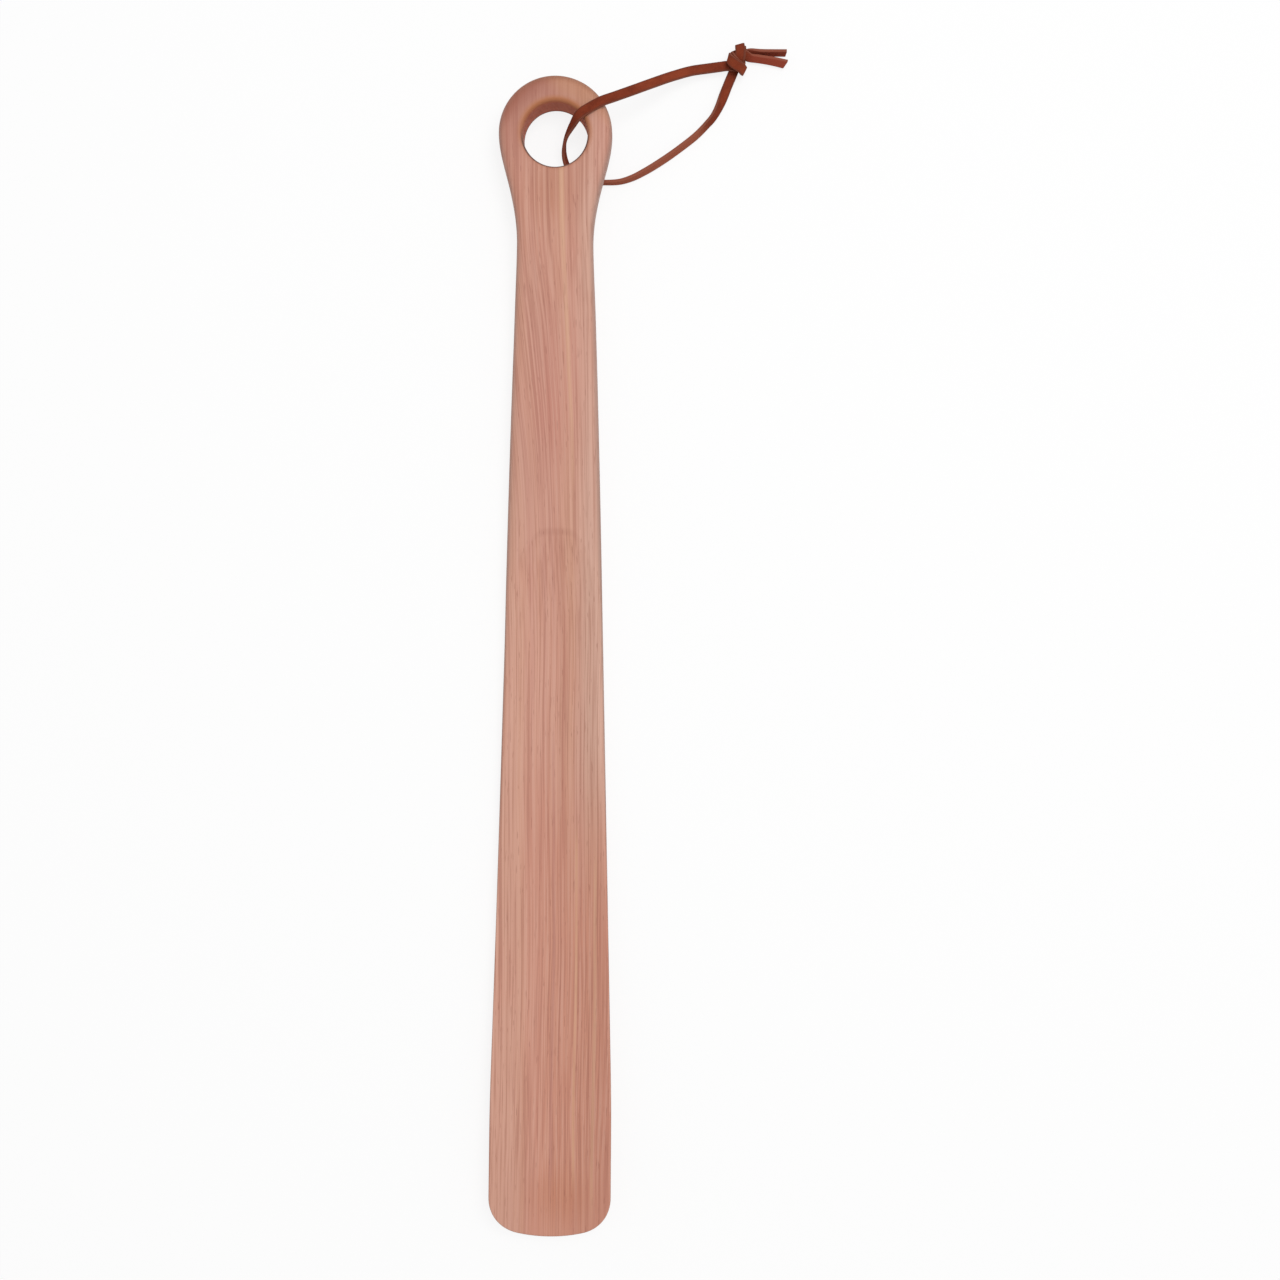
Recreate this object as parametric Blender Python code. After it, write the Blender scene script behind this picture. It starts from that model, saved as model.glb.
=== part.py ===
"""Long-handled wooden shoe horn with a leather hanging lace.

Metres, +Z up. The horn lies on its back. +Y runs along it to the round head, +X is to
the right seen from the front, and the hollow front of the blade faces up. The origin is
on the surface that it lies on, under the middle of the wood.
"""
import math

import bmesh
import bpy
import numpy as np

MM = 0.001

# Outline of the wood, seen from the front. The head is half a circle, the tip is an arc
# between two corner arcs, and a smooth side line joins them.
LENGTH = 450.0 * MM
HEAD_WIDTH = 43.8 * MM
SHOULDER_WIDTH = 35.92 * MM
SHOULDER_FROM_HEAD = 42.0 * MM
NECK_WIDTH = 29.46 * MM
NECK_FROM_HEAD = 65.0 * MM
GRIP_WIDTH = 31.3 * MM
GRIP_FROM_HEAD = 90.0 * MM
MIDDLE_WIDTH = 37.0 * MM
MIDDLE_FROM_HEAD = 188.0 * MM
FLARE_WIDTH = 46.6 * MM
FLARE_FROM_HEAD = 385.0 * MM
BLADE_WIDTH = 47.2 * MM
BLADE_FULL_FROM_TIP = 38.0 * MM
TIP_RADIUS = 42.0 * MM
CORNER_RADIUS = 15.6 * MM

# How fast each side goes outwards there, for a step down from the head
SHOULDER_SLOPE = -0.255
NECK_SLOPE = 0.019
GRIP_SLOPE = 0.035
MIDDLE_SLOPE = 0.024
FLARE_SLOPE = 0.025

# Side profile. The back is flat under the grip, rises under the head, where the lace
# passes, and sweeps up along the blade.
HANDLE_THICKNESS = 13.0 * MM
HEAD_LIFT = 4.8 * MM
HEAD_FLAT_LENGTH = 48.0 * MM
REST_FROM_HEAD = 105.0 * MM
SWEEP_FROM_HEAD = 285.0 * MM
TIP_LIFT = 8.0 * MM
EDGE_RADIUS = 4.0 * MM

# The hollow front, cut by a round-nosed cutter that runs out in an arch
SCOOP_FROM_HEAD = 175.0 * MM
SCOOP_RUNOUT = 56.0 * MM
SCOOP_DEPTH = 5.6 * MM
SCOOP_RADIUS = 46.0 * MM
CREASE_SOFTNESS = 0.35 * MM
HANDLE_TAPER = 2.0 * MM
HANDLE_TAPER_FROM_HEAD = 110.0 * MM
BLADE_THICKNESS = 3.0 * MM
BLADE_THIN_FROM_HEAD = 345.0 * MM
TIP_THICKNESS = 1.8 * MM
TIP_BEVEL_LENGTH = 25.0 * MM

# The rounded back of the blade
BACK_RADIUS = 42.0 * MM
BACK_ROUND_FROM_HEAD = 200.0 * MM
BACK_ROUND_LENGTH = 140.0 * MM

# The hanging hole through the head
HOLE_DIAMETER = 25.0 * MM
HOLE_FROM_HEAD = 23.2 * MM
FRONT_RIM_RADIUS = 1.8 * MM
BACK_RIM_RADIUS = 0.8 * MM

# The flat lace, threaded through the hole, with both ends tied in one overhand knot.
# Inside the knot it is pulled tight, so it is pressed thinner and narrower.
LACE_WIDTH = 3.8 * MM
LACE_THICKNESS = 1.4 * MM
LACE_CORNER = 0.3 * MM
KNOT_LACE_WIDTH = 2.8 * MM
KNOT_LACE_THICKNESS = 0.8 * MM
KNOT_GAP = 0.4 * MM
CLEARANCE = 0.3 * MM

# Worked out from the sizes above
HALF_LENGTH = LENGTH / 2
HOLE_Y = HALF_LENGTH - HOLE_FROM_HEAD
HEAD_Y = HALF_LENGTH - HEAD_WIDTH / 2
HEAD_FRONT = HEAD_LIFT + HANDLE_THICKNESS
LACE_OVER_HEAD = HEAD_FRONT + CLEARANCE + LACE_THICKNESS / 2
LACE_ON_FLOOR = CLEARANCE + LACE_THICKNESS / 2

# The lace's free stretch, from the knot over the head's front, down through the hole,
# back under the head and round to the knot again. Each row has x and y in millimetres
# from the hole's centre, the height as a share of the way from lying on the floor (0) to
# lying on the head's front (1), and the turn of its flat side in degrees (90 is on edge).
LOOP_ROUTE = [
    (64.4, 30.6, 0.2, 0),
    (59.2, 29.8, 0.21, 0),
    (53.0, 28.3, 0.3, 0),
    (46.0, 25.3, 0.47, 0),
    (36.6, 20.1, 0.78, 0),
    (29.7, 16.5, 0.95, 0),
    (22.8, 13.7, 1.0, 0),
    (17.3, 11.7, 1.0, 0),
    (15.0, 10.5, 1.0, 0),
    (12.7, 9.1, 1.01, 1),
    (10.3, 7.6, 0.99, 7),
    (8.5, 6.2, 0.89, 24),
    (6.8, 4.6, 0.7, 50),
    (5.6, 3.4, 0.57, 58),
    (4.4, 1.9, 0.45, 66),
    (3.5, 0.2, 0.33, 77),
    (3.0, -1.7, 0.22, 89),
    (2.9, -3.5, 0.12, 100),
    (3.3, -5.9, 0.05, 110),
    (4.1, -8.0, 0.01, 116),
    (6.0, -10.5, 0.0, 112),
    (9.5, -12.9, 0.0, 100),
    (14.2, -14.2, 0.0, 94),
    (19.4, -14.4, 0.0, 90),
    (25.1, -14.0, 0.0, 86),
    (29.8, -12.5, 0.0, 80),
    (34.5, -10.1, 0.0, 75),
    (41.6, -5.7, 0.0, 72),
    (48.6, -0.7, 0.0, 72),
    (55.7, 5.1, 0.0, 70),
    (59.0, 8.6, 0.0, 68),
    (61.1, 11.0, 0.0, 64),
    (62.6, 13.4, 0.0, 58),
    (63.8, 15.8, 0.005, 48),
    (64.8, 18.2, 0.015, 34),
    (65.7, 20.5, 0.04, 18),
    (66.6, 22.8, 0.07, 6),
    (67.75, 25.55, 0.11, 0),
]

# The knot, seen in its own frame: millimetres to the right, up the photo and towards the
# viewer from its centre, and the way that the pair of laces faces there. The pair comes in
# from the tails, passes through the loop of the knot, folds round the left side, crosses
# the front, folds round the right side, runs up behind, folds over the top and comes down
# the front under its own crossing.
KNOT_CENTRE = (70.47, 33.67)
KNOT_ROUTE = [
    (2.9, 1.75, -0.2, 0, 0.58, -0.82),
    (0.7, 1.6, -0.1, 0, 0.2, -0.98),
    (-1.45, 0.8, 0.0, -0.35, 0, -1),
    (-2.5, -0.1, 2.0, -0.98, 0.2, 0.1),
    (-1.9, -2.1, 4.2, -0.45, -0.3, 0.8),
    (-0.8, -3.3, 4.5, -0.1, -0.35, 0.9),
    (0.8, -4.1, 3.8, 0.1, -0.35, 0.9),
    (2.0, -4.5, 2.2, 0.7, -0.5, 0.6),
    (2.35, -4.2, 0.2, 0.87, -0.49, 0),
    (1.95, -2.35, -1.95, 0.6, -0.3, -0.75),
    (1.5, 0.0, -2.7, 0, 0, -1),
    (1.5, 1.9, -2.8, 0, 0, -1),
    (1.6, 3.8, -1.9, 0, 0.7, -0.7),
    (1.5, 4.8, 0.0, -0.24, 0.97, 0),
    (1.4, 4.0, 1.8, -0.2, 0.7, 0.7),
    (1.3, 2.3, 2.75, 0, 0.1, 1),
    (1.2, 0.6, 2.8, 0, 0, 1),
    (0.9, -0.8, 2.0, 0, -0.45, 0.9),
    (0.35, -2.0, 0.75, 0, -0.5, 0.9),
    (-0.25, -2.6, 0.05, 0, -0.3, 1),
]
KNOT_DEPTH_BELOW = 3.9 * MM

# Where the two laces part: the cut tails, and the ways out towards the head
UPPER_TAIL = [
    (19.4, 3.3, -1.9, 0, 0.985, -0.17),
    (15.0, 3.25, -1.8, 0, 0.985, -0.17),
    (8.6, 3.1, -1.4, 0, 0.97, -0.24),
    (4.9, 2.95, -1.1, 0, 0.87, -0.5),
]
LOWER_TAIL = [
    (19.2, -1.3, -1.3, 0, 0.87, -0.5),
    (14.9, -0.4, -1.1, 0, 0.9, -0.44),
    (8.5, 0.55, -0.9, 0, 0.93, -0.37),
    (4.9, 0.95, -0.6, 0, 0.87, -0.5),
]
UPPER_EXIT = [
    (-1.7, -2.9, 0.4, 0, 0, 1),
    (-3.6, -2.6, -0.1, 0, 0, 1),
    (-5.55, -2.93, 0.28, 0, 0, 1),
]
LOWER_EXIT = [
    (-0.8, -3.6, -1.25, 0, 0, 1),
    (-1.6, -5.4, -1.4, 0, 0, 1),
    (-2.5, -7.7, -1.3, 0, 0, 1),
]

# Mesh density
SIDE_STEP = 7.5 * MM
FINE_STEP = 2.5 * MM
EDGE_SEGMENTS = 4
FRONT_COLUMNS = 12
BACK_COLUMNS = 8
HOLE_SEGMENTS = 56
LOOP_STEP = 2.4 * MM
KNOT_STEP = 0.95 * MM


def smooth_step(value, start, end):
    """0 before start, 1 after end, and a smooth ramp between them."""
    share = min(max((value - start) / (end - start), 0.0), 1.0)
    return share * share * (3.0 - 2.0 * share)


def half_width(y):
    """Half the width of the wood at y, between the head's centre and the tip's corners."""
    from_head = HALF_LENGTH - y
    head = HEAD_WIDTH / 2
    full_from_head = LENGTH - BLADE_FULL_FROM_TIP
    knots = [
        (head, head, 0.0),
        (SHOULDER_FROM_HEAD, SHOULDER_WIDTH / 2, SHOULDER_SLOPE),
        (NECK_FROM_HEAD, NECK_WIDTH / 2, NECK_SLOPE),
        (GRIP_FROM_HEAD, GRIP_WIDTH / 2, GRIP_SLOPE),
        (MIDDLE_FROM_HEAD, MIDDLE_WIDTH / 2, MIDDLE_SLOPE),
        (FLARE_FROM_HEAD, FLARE_WIDTH / 2, FLARE_SLOPE),
        (full_from_head, BLADE_WIDTH / 2, 0.0),
    ]
    if from_head >= full_from_head:
        return BLADE_WIDTH / 2
    for (s0, w0, m0), (s1, w1, m1) in zip(knots, knots[1:]):
        if from_head <= s1:
            span = s1 - s0
            t = max((from_head - s0) / span, 0.0)
            start = (2 * t**3 - 3 * t**2 + 1) * w0 + (t**3 - 2 * t**2 + t) * span * m0
            end = (3 * t**2 - 2 * t**3) * w1 + (t**3 - t**2) * span * m1
            return start + end
    return BLADE_WIDTH / 2


def back_line(y):
    """Height of the back along the middle of the wood."""
    from_head = HALF_LENGTH - y
    lift = HEAD_LIFT * (1.0 - smooth_step(from_head, HEAD_FLAT_LENGTH, REST_FROM_HEAD))
    sweep = max((from_head - SWEEP_FROM_HEAD) / (LENGTH - SWEEP_FROM_HEAD), 0.0)
    return lift + TIP_LIFT * sweep**2


def back_height(x, y):
    """Height of the back: flat under the handle, rounded under the blade."""
    from_head = HALF_LENGTH - y
    round_end = BACK_ROUND_FROM_HEAD + BACK_ROUND_LENGTH
    roundness = smooth_step(from_head, BACK_ROUND_FROM_HEAD, round_end) / BACK_RADIUS
    return back_line(y) + roundness * x * x / 2


def plane_thickness(from_head):
    """Thickness of the handle before the hollow is cut."""
    scoop_end = SCOOP_FROM_HEAD + SCOOP_RUNOUT
    taper = smooth_step(from_head, HANDLE_TAPER_FROM_HEAD, scoop_end)
    return HANDLE_THICKNESS - HANDLE_TAPER * taper


def front_height(x, y):
    """Height of the front: the lower of the flat face and the scooped hollow."""
    from_head = HALF_LENGTH - y
    flat = back_line(y) + plane_thickness(from_head)
    along = min((from_head - SCOOP_FROM_HEAD) / SCOOP_RUNOUT, 1.0)
    depth = SCOOP_DEPTH * (1.0 - (1.0 - along) ** 2)
    left = HANDLE_THICKNESS - HANDLE_TAPER - SCOOP_DEPTH
    scoop_end = SCOOP_FROM_HEAD + SCOOP_RUNOUT
    thin_from = scoop_end - SCOOP_RUNOUT / 4
    depth += (left - BLADE_THICKNESS) * smooth_step(from_head, thin_from, BLADE_THIN_FROM_HEAD)
    bevel = smooth_step(from_head, LENGTH - TIP_BEVEL_LENGTH, LENGTH)
    depth += (BLADE_THICKNESS - TIP_THICKNESS) * bevel
    hollow = flat - depth + x * x / (2 * SCOOP_RADIUS)
    return (flat + hollow - math.hypot(flat - hollow, CREASE_SOFTNESS)) / 2


def outline():
    """Points down the right-hand edge, from the middle of the tip to the top of the head.

    Each is x, y and the inward normal.
    """
    half = BLADE_WIDTH / 2
    tip_y = TIP_RADIUS - HALF_LENGTH
    corner_x = half - CORNER_RADIUS
    corner_y = tip_y - math.sqrt((TIP_RADIUS - CORNER_RADIUS) ** 2 - corner_x**2)
    turn = math.atan2(corner_x, tip_y - corner_y)
    points = []
    for angle in np.linspace(0.0, turn, 7)[:-1]:
        points.append((TIP_RADIUS * math.sin(angle), tip_y - TIP_RADIUS * math.cos(angle)))
    for angle in np.linspace(turn, math.pi / 2, 9)[:-1]:
        x = corner_x + CORNER_RADIUS * math.sin(angle)
        points.append((x, corner_y - CORNER_RADIUS * math.cos(angle)))
    y = corner_y
    arch_y = HALF_LENGTH - SCOOP_FROM_HEAD
    while y < HEAD_Y - FINE_STEP / 2:
        points.append((half_width(y), y))
        near_arch = arch_y - 4 * SIDE_STEP < y < arch_y + SIDE_STEP
        near_head = y > HEAD_Y - 2 * SIDE_STEP
        y += FINE_STEP if near_arch or near_head else SIDE_STEP
    for angle in np.linspace(0.0, math.pi / 2, 15):
        radius = HEAD_WIDTH / 2
        points.append((radius * math.cos(angle), HEAD_Y + radius * math.sin(angle)))
    points[0] = (0.0, -HALF_LENGTH)
    points[-1] = (0.0, HALF_LENGTH)
    path = np.array(points)
    along = np.gradient(path, axis=0)
    along[0] = (1.0, 0.0)
    along[-1] = (-1.0, 0.0)
    along /= np.linalg.norm(along, axis=1)[:, None]
    inward = np.stack([-along[:, 1], along[:, 0]], axis=1)
    return path, inward


def girth(point, inward):
    """One closed loop of points round the wood, with its edges rounded."""
    x, y = point
    edge_height = front_height(x, y) - back_height(x, y)
    radius = min(EDGE_RADIUS, 0.42 * edge_height)
    steps = np.linspace(math.pi / 2, 0.0, EDGE_SEGMENTS + 1)
    right_front, right_back = [], []
    for angle in steps:
        inset = radius * (1.0 - math.cos(angle))
        drop = radius * (1.0 - math.sin(angle))
        px = max(x + inward[0] * inset, 0.0)
        py = y + inward[1] * inset
        right_front.append((px, py, front_height(px, py) - drop))
        right_back.append((px, py, back_height(px, py) + drop))
    inner_x, inner_y, _ = right_front[0]
    front = []
    for share in np.linspace(-1.0, 1.0, FRONT_COLUMNS + 1)[1:-1]:
        front.append((share * inner_x, inner_y, front_height(share * inner_x, inner_y)))
    back = []
    for share in np.linspace(1.0, -1.0, BACK_COLUMNS + 1)[1:-1]:
        back.append((share * inner_x, inner_y, back_height(share * inner_x, inner_y)))
    left_back = [(-px, py, pz) for px, py, pz in right_back]
    left_front = [(-px, py, pz) for px, py, pz in reversed(right_front)]
    return front + right_front + right_back[::-1] + back + left_back + left_front


def new_object(name, mesh, material):
    mesh.materials.append(material)
    item = bpy.data.objects.new(name, mesh)
    bpy.context.scene.collection.objects.link(item)
    return item


def principled(name, colour, roughness):
    material = bpy.data.materials.new(name)
    material.use_nodes = True
    shader = material.node_tree.nodes["Principled BSDF"]
    shader.inputs["Base Color"].default_value = (*colour, 1.0)
    shader.inputs["Roughness"].default_value = roughness
    shader.inputs["Metallic"].default_value = 0.0
    return material


def skin_loops(name, loops, material, closed_ends):
    """A mesh through a row of closed loops; the ends are capped or already meet."""
    count = len(loops[0])
    shape = bmesh.new()
    rings = [[shape.verts.new(p) for p in loop] for loop in loops]
    for ring, following in zip(rings, rings[1:]):
        for i in range(count):
            j = (i + 1) % count
            shape.faces.new((ring[i], ring[j], following[j], following[i]))
    if closed_ends:
        shape.faces.new(rings[0][::-1])
        shape.faces.new(rings[-1])
    bmesh.ops.remove_doubles(shape, verts=shape.verts, dist=0.001 * MM)
    bmesh.ops.recalc_face_normals(shape, faces=shape.faces)
    mesh = bpy.data.meshes.new(name)
    shape.to_mesh(mesh)
    shape.free()
    mesh.shade_smooth()
    mesh.set_sharp_from_angle(angle=math.radians(35))
    return new_object(name, mesh, material)


def rim_profile(radius):
    """From the bore out over a rounded rim: distance from the axis, depth below the face."""
    last = math.radians(72)
    rim = []
    for angle in np.linspace(0.0, last, 6):
        out = HOLE_DIAMETER / 2 + radius * (1.0 - math.cos(angle))
        rim.append((out, radius * (1.0 - math.sin(angle))))
    over = CLEARANCE * 3
    rise = over + rim[-1][1]
    rim.append((rim[-1][0] + rise * math.tan(last), -over))
    return rim


def hole_cutter(material):
    """The drill and the roundings of both rims as one turned shape, wide at both faces."""
    front = [(out, HEAD_FRONT - depth) for out, depth in rim_profile(FRONT_RIM_RADIUS)]
    back = [(out, HEAD_LIFT + depth) for out, depth in rim_profile(BACK_RIM_RADIUS)]
    profile = [(0.0, back[-1][1])] + back[::-1] + front + [(0.0, front[-1][1])]
    shape = bmesh.new()
    verts = [shape.verts.new((out, 0.0, z)) for out, z in profile]
    edges = [shape.edges.new(pair) for pair in zip(verts, verts[1:])]
    bmesh.ops.spin(
        shape,
        geom=verts + edges,
        cent=(0.0, 0.0, 0.0),
        axis=(0.0, 0.0, 1.0),
        angle=2 * math.pi,
        steps=HOLE_SEGMENTS,
    )
    bmesh.ops.remove_doubles(shape, verts=shape.verts, dist=0.001 * MM)
    bmesh.ops.recalc_face_normals(shape, faces=shape.faces)
    mesh = bpy.data.meshes.new("hole_cutter")
    shape.to_mesh(mesh)
    shape.free()
    cutter = new_object("hole_cutter", mesh, material)
    cutter.location = (0.0, HOLE_Y, 0.0)
    cutter.hide_render = True
    cutter.display_type = "WIRE"
    return cutter


def make_horn(material):
    """The carved wood: loops round it from the tip to the head, and the drilled hole."""
    path, inward = outline()
    loops = [girth(point, normal) for point, normal in zip(path, inward)]
    horn = skin_loops("horn_body", loops, material, closed_ends=False)
    cut = horn.modifiers.new("hanging_hole", "BOOLEAN")
    cut.operation = "DIFFERENCE"
    cut.solver = "EXACT"
    cut.object = hole_cutter(material)
    return horn


def smooth_path(rows, step):
    """A smooth curve through the rows, at even steps along it; other columns follow."""
    rows = np.array(rows, float)
    chord = np.linalg.norm(np.diff(rows[:, :3], axis=0), axis=1)
    at = np.concatenate([[0.0], np.cumsum(chord)])
    slope = np.diff(rows, axis=0) / chord[:, None]
    tangent = np.concatenate([slope[:1], slope[:1], slope[1:]])[: len(rows)]
    before, after = chord[:-1, None], chord[1:, None]
    tangent[1:-1] = (slope[:-1] * after + slope[1:] * before) / (before + after)
    tangent[-1] = slope[-1]
    where = np.linspace(0.0, at[-1], 40 * len(rows))
    k = np.clip(np.searchsorted(at, where) - 1, 0, len(chord) - 1)
    span = chord[k][:, None]
    t = (where - at[k])[:, None] / span
    curve = (2 * t**3 - 3 * t**2 + 1) * rows[k] + (t**3 - 2 * t**2 + t) * span * tangent[k]
    curve += (3 * t**2 - 2 * t**3) * rows[k + 1] + (t**3 - t**2) * span * tangent[k + 1]
    run = np.linalg.norm(np.diff(curve[:, :3], axis=0), axis=1)
    length = np.concatenate([[0.0], np.cumsum(run)])
    even = np.linspace(0.0, length[-1], int(round(length[-1] / step)) + 1)
    return np.stack([np.interp(even, length, column) for column in curve.T], axis=1)


def lace_frames(centres, faces):
    """Directions along, across and out of the flat side at each point."""
    along = np.gradient(centres, axis=0)
    along /= np.linalg.norm(along, axis=1)[:, None]
    out = faces - (faces * along).sum(axis=1)[:, None] * along
    out /= np.linalg.norm(out, axis=1)[:, None]
    return along, np.cross(along, out), out


def lace_loops(centres, faces, widths, thicknesses):
    """The flat section with eased corners, carried along the path."""
    _, across, out = lace_frames(centres, faces)
    loops = []
    for centre, side, up, width, thick in zip(centres, across, out, widths, thicknesses):
        a, b, c = width / 2, thick / 2, LACE_CORNER
        corners = [(a, b - c), (a - c, b), (c - a, b), (-a, b - c)]
        corners += [(-a, c - b), (c - a, -b), (a - c, -b), (a, c - b)]
        loops.append([centre + side * u + up * v for u, v in corners])
    return loops


def loop_path():
    """Centres and faces of the lace's free stretch, from the hole's centre on the floor."""
    rows = []
    for x, y, rise, turn in LOOP_ROUTE:
        tilt = math.radians(turn)
        edge = LACE_WIDTH * abs(math.sin(tilt)) + LACE_THICKNESS * abs(math.cos(tilt))
        z = CLEARANCE + edge / 2 + rise * (LACE_OVER_HEAD - LACE_ON_FLOOR)
        rows.append((x * MM, y * MM, z, tilt))
    path = smooth_path(rows, LOOP_STEP)
    centres, turns = path[:, :3], path[:, 3]
    upright = np.tile((0.0, 0.0, 1.0), (len(path), 1))
    along, across, out = lace_frames(centres, upright)
    faces = out * np.cos(turns)[:, None] + np.cross(along, out) * np.sin(turns)[:, None]
    return centres, faces


def knotted_end(side, tail, way_out):
    """Centres, faces and tightness of one lace of the pair that makes the knot.

    side is 1 for the lace on the outside of the folds and -1 for the one inside.
    """
    pair = smooth_path(KNOT_ROUTE, KNOT_STEP / MM)
    _, _, faces = lace_frames(pair[:, :3], pair[:, 3:])
    apart = (KNOT_LACE_THICKNESS + KNOT_GAP) / 2 / MM
    folded = np.hstack([pair[:, :3] + side * apart * faces, faces])
    rows = np.vstack([tail, folded, way_out])
    rows[:, :3] *= MM
    rows[:, 0] += KNOT_CENTRE[0] * MM
    rows[:, 1] += KNOT_CENTRE[1] * MM
    rows[:, 2] += CLEARANCE + KNOT_DEPTH_BELOW
    in_knot = np.zeros(len(rows))
    in_knot[len(tail) - 1 : len(tail) + len(pair) + 1] = 1.0
    path = smooth_path(np.column_stack([rows, in_knot]), KNOT_STEP)
    return path[:, :3], path[:, 3:6], np.clip(path[:, 6], 0.0, 1.0)


def make_lace(material):
    """The free stretch and the two knotted ends, on an empty at the hole's axis."""
    pivot = bpy.data.objects.new("lace_pivot", None)
    pivot.location = (0.0, HOLE_Y, 0.0)
    bpy.context.scene.collection.objects.link(pivot)
    centres, faces = loop_path()
    widths = np.full(len(centres), LACE_WIDTH)
    thicknesses = np.full(len(centres), LACE_THICKNESS)
    loops = lace_loops(centres, faces, widths, thicknesses)
    pieces = [skin_loops("lace_loop", loops, material, closed_ends=True)]
    ends = {
        "lace_end_upper": (1, UPPER_TAIL, UPPER_EXIT),
        "lace_end_lower": (-1, LOWER_TAIL, LOWER_EXIT),
    }
    for name, (side, tail, way_out) in ends.items():
        centres, faces, tight = knotted_end(side, tail, way_out)
        widths = LACE_WIDTH + (KNOT_LACE_WIDTH - LACE_WIDTH) * tight
        thicknesses = LACE_THICKNESS + (KNOT_LACE_THICKNESS - LACE_THICKNESS) * tight
        loops = lace_loops(centres, faces, widths, thicknesses)
        pieces.append(skin_loops(name, loops, material, closed_ends=True))
    for piece in pieces:
        piece.parent = pivot
    return pieces


def main():
    for item in list(bpy.data.objects):
        bpy.data.objects.remove(item)
    wood = principled("cedar", (0.56, 0.32, 0.24), 0.55)
    leather = principled("lace_leather", (0.21, 0.05, 0.022), 0.8)
    make_horn(wood)
    make_lace(leather)


main()
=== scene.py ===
import math

import bmesh
import bpy
import numpy as np
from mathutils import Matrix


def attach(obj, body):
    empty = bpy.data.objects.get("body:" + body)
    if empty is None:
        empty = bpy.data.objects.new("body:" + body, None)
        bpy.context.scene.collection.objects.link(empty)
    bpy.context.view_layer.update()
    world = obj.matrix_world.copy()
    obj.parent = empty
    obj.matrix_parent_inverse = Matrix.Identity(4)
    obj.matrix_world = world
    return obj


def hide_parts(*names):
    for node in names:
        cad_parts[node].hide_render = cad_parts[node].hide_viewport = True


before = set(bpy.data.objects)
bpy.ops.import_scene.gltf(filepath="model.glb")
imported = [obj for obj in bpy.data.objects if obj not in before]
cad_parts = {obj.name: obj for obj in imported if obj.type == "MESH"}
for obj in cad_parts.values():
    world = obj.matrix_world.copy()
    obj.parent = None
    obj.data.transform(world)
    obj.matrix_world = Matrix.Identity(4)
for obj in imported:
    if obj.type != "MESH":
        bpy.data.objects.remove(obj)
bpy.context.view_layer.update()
mm = 0.001
seam = 0.002 * mm                 # points nearer than this become one
print("frame loaded with", ", ".join(sorted(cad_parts)))


# The photograph's camera looks straight down, turned a third of a degree.
photoView = {
    "lookAt": (33.73, 7.38),      # what the middle of the picture shows, in mm
    "planeHeight": 10.5,          # a plane through the wood, in mm
    "distance": 610.0,            # from that plane, in mm
    "pictureWidth": 497.2,        # width of the picture on that plane, in mm
    "turn": 0.314,                # degrees
    "sensor": 36.0,
}


def makeCamera():
    data = bpy.data.cameras.new("photoCamera")
    data.sensor_width = photoView["sensor"]
    data.lens = photoView["sensor"] * photoView["distance"] / photoView["pictureWidth"]
    data.clip_start = 0.01
    camera = bpy.data.objects.new("photoCamera", data)
    camera.location = (
        photoView["lookAt"][0] * mm,
        photoView["lookAt"][1] * mm,
        (photoView["planeHeight"] + photoView["distance"]) * mm,
    )
    camera.rotation_euler = (0, 0, math.radians(photoView["turn"]))
    bpy.context.scene.collection.objects.link(camera)
    bpy.context.scene.camera = camera


makeCamera()
print("camera placed")


class Wire:
    # a value in a material; arithmetic on it adds Math nodes
    def __init__(self, finish, socket):
        self.finish = finish
        self.socket = socket

    def maths(self, operation, *others):
        return self.finish.node("ShaderNodeMath", {"operation": operation}, [self, *others])

    def __add__(self, other):
        return self.maths("ADD", other)

    def __sub__(self, other):
        return self.maths("SUBTRACT", other)

    def __rsub__(self, other):
        return self.finish.node("ShaderNodeMath", {"operation": "SUBTRACT"}, [other, self])

    def __mul__(self, other):
        return self.maths("MULTIPLY", other)

    def __pow__(self, other):
        return self.maths("POWER", other)

    def __abs__(self):
        return self.maths("ABSOLUTE")

    __radd__ = __add__
    __rmul__ = __mul__


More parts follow.
